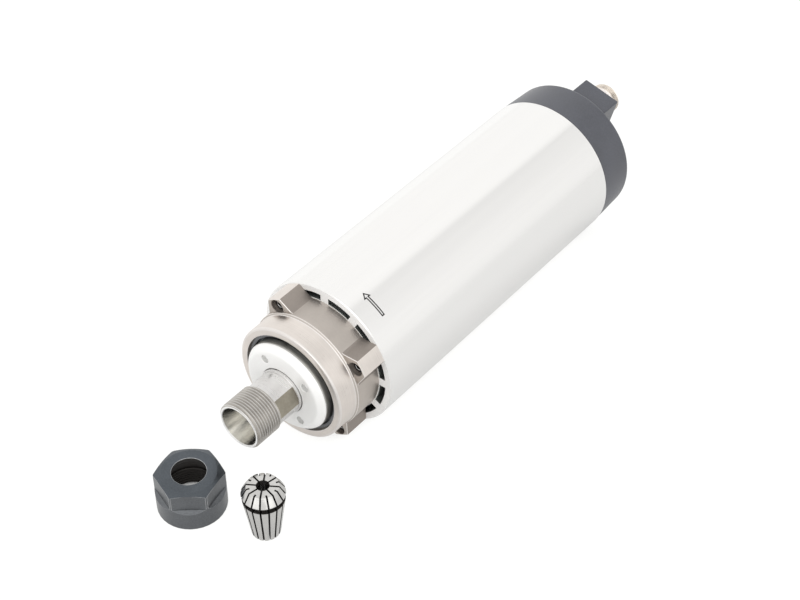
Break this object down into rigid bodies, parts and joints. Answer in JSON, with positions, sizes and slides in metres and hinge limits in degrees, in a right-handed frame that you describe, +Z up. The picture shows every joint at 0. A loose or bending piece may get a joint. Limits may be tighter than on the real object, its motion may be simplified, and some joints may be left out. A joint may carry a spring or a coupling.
{
  "type": "motor spindle",
  "caption": "Round air-cooled motor spindle with a threaded collet nose, fan and rear plug socket, its hexagon clamping nut and slotted collet taken off beside it.",
  "frame": {"origin": "on the spindle's axis, in the plane of the sleeve's front end, where the round body begins that a clamp holds", "axes": "-Y along the axis towards the collet nose, +Z up from the bench that the spindle lies on, +X to the right seen from behind the nose; the bench is 40 mm below the origin"},
  "size_m": [0.08, 0.3384, 0.08],
  "materials": {
    "sleeve_aluminium": "satin drawn and brushed",
    "nose_casting": "satin, warm grey",
    "disc_aluminium": "fine turned",
    "cover_steel": "dark satin",
    "black_steel": "black oxide",
    "shaft_steel": "ground",
    "bearing_steel": "polished",
    "lamination_steel": "stacked laminations",
    "winding_copper": "varnished copper wire",
    "cage_polymer": "phenolic",
    "cap_plastic": "moulded, fine grain",
    "fan_plastic": "moulded",
    "connector_metal": "nickel plated, satin",
    "contact_metal": "gold flash",
    "connector_plastic": "moulded",
    "nut_steel": "black oxide",
    "collet_steel": "hardened and ground"
  },
  "bodies": {
    "housing": {"outer_sleeve": "sleeve_aluminium", "front_housing": "nose_casting", "lug_screws": "black_steel", "front_bearing_cover": "cover_steel", "front_bearing_outer_race": "bearing_steel", "second_bearing_outer_race": "bearing_steel", "outer_spacer": "bearing_steel", "stator_core": "lamination_steel", "front_end_winding": "winding_copper", "rear_end_winding": "winding_copper", "rear_bearing_outer_race": "bearing_steel", "rear_bearing_housing": "nose_casting", "preload_spring": "bearing_steel", "rear_cap": "cap_plastic", "cap_screws": "black_steel", "connector_shell": "connector_metal", "connector_insert": "connector_plastic", "connector_contacts": "contact_metal", "connector_lock_nut": "connector_metal"},
    "rotor": {"shaft": "shaft_steel", "dust_disc": "disc_aluminium", "front_bearing_inner_race": "bearing_steel", "second_bearing_inner_race": "bearing_steel", "inner_spacer": "bearing_steel", "rotor_core": "lamination_steel", "front_cage_ring": "disc_aluminium", "rear_cage_ring": "disc_aluminium", "rear_bearing_inner_race": "bearing_steel", "rear_circlip": "black_steel", "fan": "fan_plastic", "fan_nut": "bearing_steel"},
    "front_ball_set": {"front_bearing_cage": "cage_polymer", "front_bearing_balls": "bearing_steel", "second_bearing_cage": "cage_polymer", "second_bearing_balls": "bearing_steel"},
    "rear_ball_set": {"rear_bearing_cage": "cage_polymer", "rear_bearing_balls": "bearing_steel"},
    "collet_nut": {"collet_nut": "nut_steel"},
    "collet": {"collet": "collet_steel"}
  },
  "joints": [
    {"name": "rotor_spin", "type": "hinge", "parent": "housing", "child": "rotor", "pos_m": [0, 0, 0], "axis": [0, 1, 0], "continuous": true},
    {"name": "front_balls_orbit", "type": "hinge", "parent": "housing", "child": "front_ball_set", "pos_m": [0, -0.014, 0], "axis": [0, 1, 0], "continuous": true},
    {"name": "rear_balls_orbit", "type": "hinge", "parent": "housing", "child": "rear_ball_set", "pos_m": [0, 0.1725, 0], "axis": [0, 1, 0], "continuous": true},
    {"name": "nut_lift", "type": "slide", "parent": "housing", "child": "collet_nut", "axis": [0, 0, 1], "range_m": [0, 0.08]},
    {"name": "collet_lift", "type": "slide", "parent": "housing", "child": "collet", "axis": [0, 0, 1], "range_m": [0, 0.08]}
  ],
  "couplings": [
    {"joint": "front_balls_orbit", "follows": "rotor_spin", "ratio": 0.4148},
    {"joint": "rear_balls_orbit", "follows": "rotor_spin", "ratio": 0.3987}
  ]
}
